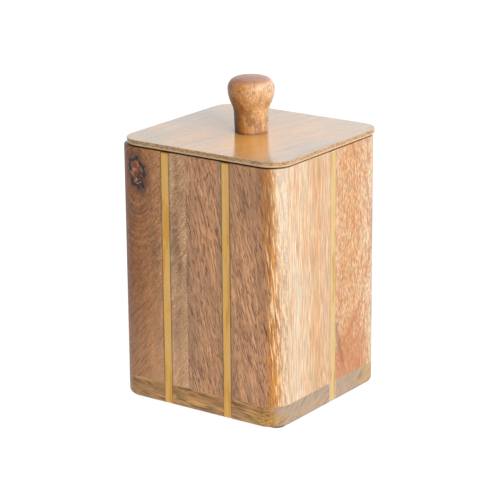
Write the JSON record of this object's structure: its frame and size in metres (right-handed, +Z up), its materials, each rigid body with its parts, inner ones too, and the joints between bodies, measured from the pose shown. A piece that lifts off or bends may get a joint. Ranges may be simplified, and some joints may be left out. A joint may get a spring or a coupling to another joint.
{
  "type": "wooden spice canister",
  "caption": "Square wooden spice canister with rounded corners, flush brass inlay, rubber feet and a lift-off lid with a turned knob.",
  "frame": {"origin": "centre of the footprint, on the surface that the four feet stand on", "axes": "+Z up through the knob; the front, with two brass strips, faces -Y; +X is the right-hand side seen from the front"},
  "size_m": [0.1109, 0.105, 0.1866],
  "materials": {
    "wall_wood": "mango wood, sanded and satin lacquered",
    "base_wood": "mango wood, sanded and satin lacquered",
    "inlay_brass": "brass, sanded flush and lacquered",
    "lid_wood": "mango wood, gloss lacquered",
    "knob_wood": "mango wood, turned and gloss lacquered",
    "foot_rubber": "moulded black rubber",
    "seal_rubber": "dark foam rubber sheet",
    "screw_steel": "zinc plated steel"
  },
  "bodies": {
    "canister": {"front_board_left": "wall_wood", "front_board_right": "wall_wood", "right_board_front": "wall_wood", "right_board_rear": "wall_wood", "rear_board_right": "wall_wood", "rear_board_left": "wall_wood", "left_board_rear": "wall_wood", "left_board_front": "wall_wood", "base_board_front": "base_wood", "base_board_rear": "base_wood", "front_strip_left": "inlay_brass", "front_strip_right": "inlay_brass", "right_strip": "inlay_brass", "rear_strip_right": "inlay_brass", "rear_strip_left": "inlay_brass", "left_strip": "inlay_brass", "foot_front_left": "foot_rubber", "foot_front_right": "foot_rubber", "foot_rear_left": "foot_rubber", "foot_rear_right": "foot_rubber"},
    "lid": {"lid_board": "lid_wood", "lid_plug": "lid_wood", "lid_seal": "seal_rubber", "knob": "knob_wood", "knob_screw": "screw_steel"}
  },
  "joints": [
    {"name": "lid_lift", "type": "slide", "parent": "canister", "child": "lid", "axis": [0, 0, 1], "range_m": [0, 0.13]}
  ]
}
